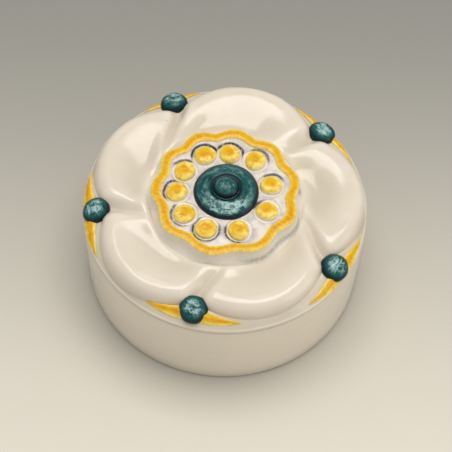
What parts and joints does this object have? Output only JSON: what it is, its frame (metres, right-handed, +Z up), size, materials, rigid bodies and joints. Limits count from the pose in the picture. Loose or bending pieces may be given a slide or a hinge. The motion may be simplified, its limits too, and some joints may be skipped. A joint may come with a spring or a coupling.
{
  "type": "seal paste box",
  "caption": "Round glazed box for seal paste with a loose lid, modelled with a five-petalled flower, leaves and round beads in relief around a scalloped rosette.",
  "frame": {"origin": "middle of the box on the plane that its foot ring rests on", "axes": "+Z up along the box's axis; -Y towards the side that the picture shows nearest; +X to the right seen from there"},
  "size_m": [0.08, 0.08, 0.0413],
  "materials": {
    "ivory_glaze": "glossy ivory glaze over pale clay, slightly pooled in the creases",
    "white_slip": "glossy off-white glaze with incised brown outlines round the sockets",
    "yellow_glaze": "glossy golden yellow glaze, thinner and lighter on the high points",
    "teal_glaze": "glossy dark teal glaze, streaked lighter where it breaks over the domes",
    "cinnabar_paste": "soft oily red cinnabar paste with a slight sheen"
  },
  "bodies": {
    "base": {"base_dish": "ivory_glaze", "seal_paste": "cinnabar_paste"},
    "lid": {"lid_shell": "ivory_glaze", "scalloped_disc": "white_slip", "scalloped_band": "yellow_glaze", "centre_boss": "teal_glaze", "centre_nub": "teal_glaze", "rosette_bead_01": "yellow_glaze", "rosette_bead_02": "yellow_glaze", "rosette_bead_03": "yellow_glaze", "rosette_bead_04": "yellow_glaze", "rosette_bead_05": "yellow_glaze", "rosette_bead_06": "yellow_glaze", "rosette_bead_07": "yellow_glaze", "rosette_bead_08": "yellow_glaze", "rosette_bead_09": "yellow_glaze", "rosette_bead_10": "yellow_glaze", "rim_bead_1": "teal_glaze", "rim_bead_2": "teal_glaze", "rim_bead_3": "teal_glaze", "rim_bead_4": "teal_glaze", "rim_bead_5": "teal_glaze", "leaf_1_left": "yellow_glaze", "leaf_1_right": "yellow_glaze", "leaf_2_left": "yellow_glaze", "leaf_2_right": "yellow_glaze", "leaf_3_left": "yellow_glaze", "leaf_3_right": "yellow_glaze", "leaf_4_left": "yellow_glaze", "leaf_4_right": "yellow_glaze", "leaf_5_left": "yellow_glaze", "leaf_5_right": "yellow_glaze"}
  },
  "joints": [
    {"name": "lid_lift", "type": "slide", "parent": "base", "child": "lid", "axis": [0, 0, 1], "range_m": [0, 0.05]}
  ]
}
